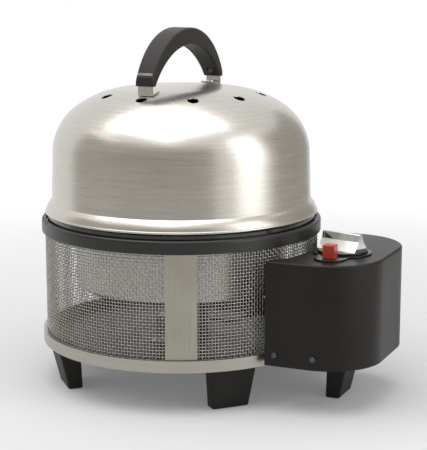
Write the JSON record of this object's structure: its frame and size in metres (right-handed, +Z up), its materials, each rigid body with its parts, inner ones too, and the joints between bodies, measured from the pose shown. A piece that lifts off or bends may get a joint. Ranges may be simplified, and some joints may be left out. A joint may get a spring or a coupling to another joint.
{
  "type": "portable gas grill",
  "caption": "Round table-top gas grill with a lift-off steel lid, mesh barrel, fat bowl and a side gas box with knob and igniter button.",
  "frame": {"origin": "middle of the footprint, on the surface that the feet stand on", "axes": "+Z up, +X from the barrel to the gas box, +Y to the back"},
  "size_m": [0.399, 0.3108, 0.3902],
  "materials": {
    "lid_steel": "satin, brushed round the dome",
    "mesh_steel": "woven stainless wire",
    "strip_steel": "satin rolled sheet",
    "bracket_steel": "bright stamped sheet",
    "fastener_steel": "plain",
    "dark_fastener": "blackened",
    "pan_steel": "black enamel",
    "ring_enamel": "satin black enamel",
    "box_paint": "satin black powder coat",
    "foot_plastic": "moulded, matte",
    "handle_plastic": "moulded, matte",
    "bowl_aluminium": "pressed, bright",
    "plate_coating": "cast, glossy black non-stick coat",
    "burner_iron": "cast",
    "brass": "machined",
    "tube_aluminium": "drawn",
    "ceramic": "glazed ceramic, stood in for by plastic",
    "lead_jacket": "rubber jacket",
    "black_plastic": "moulded, glossy",
    "knob_chrome": "plated",
    "button_plastic": "red moulded"
  },
  "bodies": {
    "base": {"base_pan": "pan_steel", "bottom_band": "strip_steel", "mesh_barrel": "mesh_steel", "seam_strip": "strip_steel", "top_ring": "ring_enamel", "foot_front_right": "foot_plastic", "foot_rear_right": "foot_plastic", "foot_rear_left": "foot_plastic", "foot_front_left": "foot_plastic", "foot_screws": "fastener_steel", "box_shell": "box_paint", "box_floor": "box_paint", "box_screws": "dark_fastener", "box_foot": "foot_plastic", "box_foot_screw": "fastener_steel", "box_spacers": "fastener_steel", "box_bolts": "fastener_steel", "box_nuts": "fastener_steel", "burner_body": "burner_iron", "burner_cap": "burner_iron", "burner_bridge": "bracket_steel", "spark_electrode": "ceramic", "injector": "brass", "gas_valve": "brass", "gas_tube": "tube_aluminium", "gas_inlet": "brass", "inlet_pipe": "tube_aluminium", "escutcheon": "black_plastic", "igniter": "black_plastic", "ignition_lead": "lead_jacket"},
    "lid": {"dome_lid": "lid_steel", "handle_bracket_rear": "bracket_steel", "handle_bracket_front": "bracket_steel", "handle_rivets": "bracket_steel", "lid_handle": "handle_plastic", "handle_screws": "dark_fastener"},
    "grill_plate": {"grill_plate": "plate_coating"},
    "bowl": {"fat_bowl": "bowl_aluminium"},
    "knob": {"knob_skirt": "black_plastic", "knob_grip": "knob_chrome", "valve_stem": "brass"},
    "button": {"ignition_button": "button_plastic"}
  },
  "joints": [
    {"name": "bowl_lift", "type": "slide", "parent": "base", "child": "bowl", "axis": [0, 0, 1], "range_m": [0, 0.11]},
    {"name": "plate_lift", "type": "slide", "parent": "bowl", "child": "grill_plate", "axis": [0, 0, 1], "range_m": [0, 0.05]},
    {"name": "lid_lift", "type": "slide", "parent": "grill_plate", "child": "lid", "axis": [0, 0, 1], "range_m": [0, 0.15]},
    {"name": "knob_turn", "type": "hinge", "parent": "base", "child": "knob", "pos_m": [0.1509, -0.0185, 0.16], "axis": [0, 0, 1], "range_deg": [0, 180]},
    {"name": "button_press", "type": "slide", "parent": "base", "child": "button", "axis": [0, 0, -1], "range_m": [0, 0.006], "stiffness_N_per_m": 500, "springref_m": -0.002}
  ]
}
